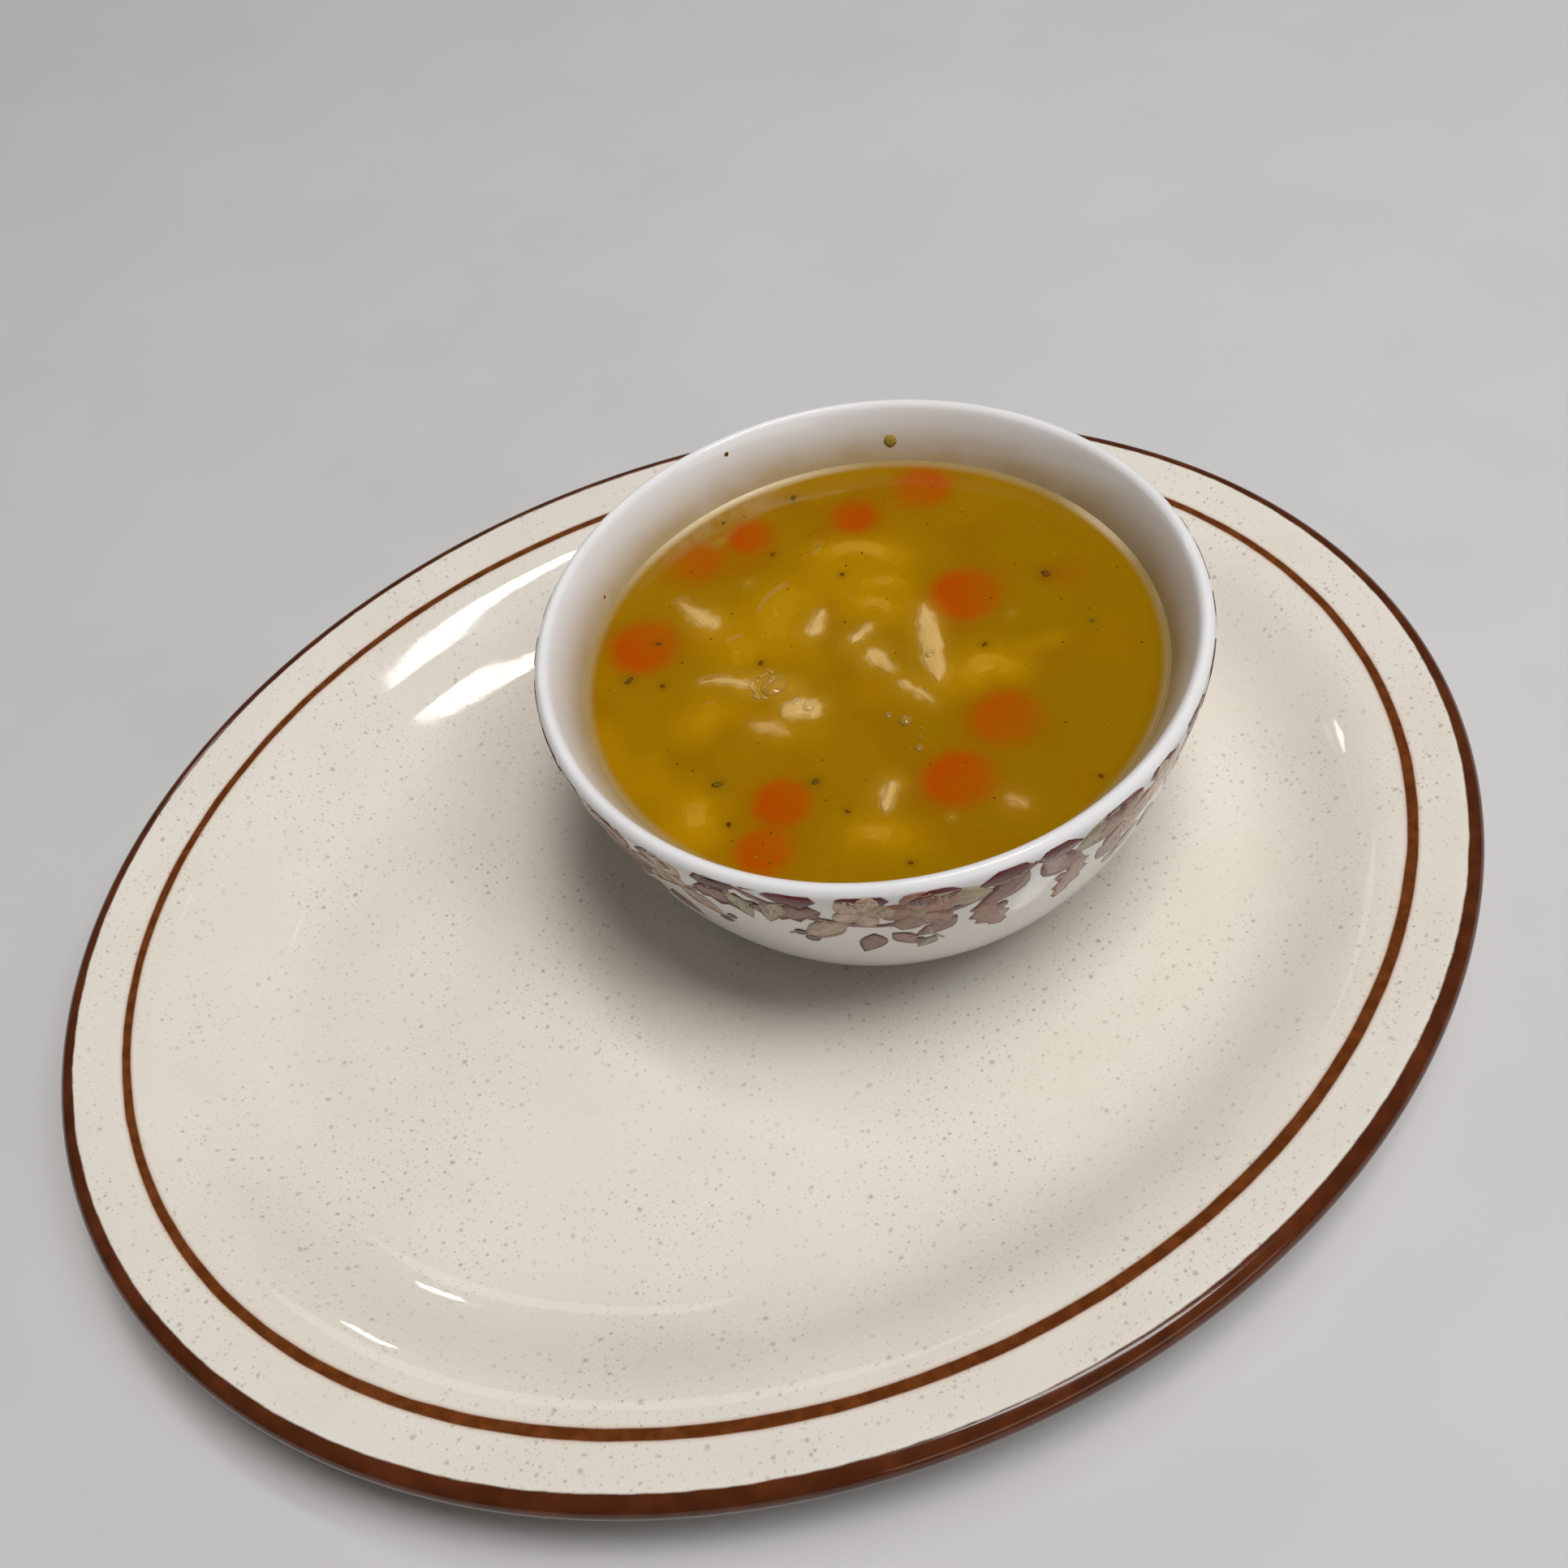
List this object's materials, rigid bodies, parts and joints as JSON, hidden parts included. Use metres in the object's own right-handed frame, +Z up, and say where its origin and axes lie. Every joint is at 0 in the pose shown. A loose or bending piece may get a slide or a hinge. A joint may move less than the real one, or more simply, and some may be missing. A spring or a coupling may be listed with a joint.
{
  "type": "chicken noodle soup",
  "caption": "Round white bowl of golden chicken noodle soup with carrot coins, egg noodles and shredded chicken, standing on an oval stoneware platter.",
  "frame": {"origin": "middle of the platter's footprint, on the surface that the platter stands on", "axes": "+X along the platter's long axis, towards the bowl's side; +Y along the platter's short axis; +Z up, the shortest extent"},
  "size_m": [0.3144, 0.2704, 0.0678],
  "materials": {
    "cream_glaze": "glossy cream glaze with fine grey-brown speckles, a thin rust-brown line and a dark brown edge",
    "white_glaze": "glossy white glaze with a mauve-brown leaf and blossom print under the lip",
    "broth": "cloudy ochre-yellow broth with a wet gloss and small dark herb flakes",
    "carrot": "cooked carrot, orange, wet",
    "noodle": "cooked egg noodle, yellow, wet",
    "chicken": "cooked shredded chicken, pale cream with a pinkish cast, wet"
  },
  "bodies": {
    "root": {"platter": "cream_glaze", "bowl": "white_glaze", "broth": "broth", "carrot_01": "carrot", "carrot_02": "carrot", "carrot_03": "carrot", "carrot_04": "carrot", "carrot_05": "carrot", "carrot_06": "carrot", "carrot_07": "carrot", "carrot_08": "carrot", "carrot_09": "carrot", "carrot_10": "carrot", "noodle_01": "noodle", "noodle_02": "noodle", "noodle_03": "noodle", "noodle_04": "noodle", "noodle_05": "noodle", "noodle_06": "noodle", "noodle_07": "noodle", "noodle_08": "noodle", "noodle_09": "noodle", "chicken_01": "chicken", "chicken_02": "chicken", "chicken_03": "chicken", "chicken_04": "chicken", "chicken_05": "chicken", "chicken_06": "chicken", "chicken_07": "chicken", "chicken_08": "chicken", "chicken_09": "chicken", "chicken_10": "chicken", "chicken_11": "chicken"}
  },
  "joints": []
}
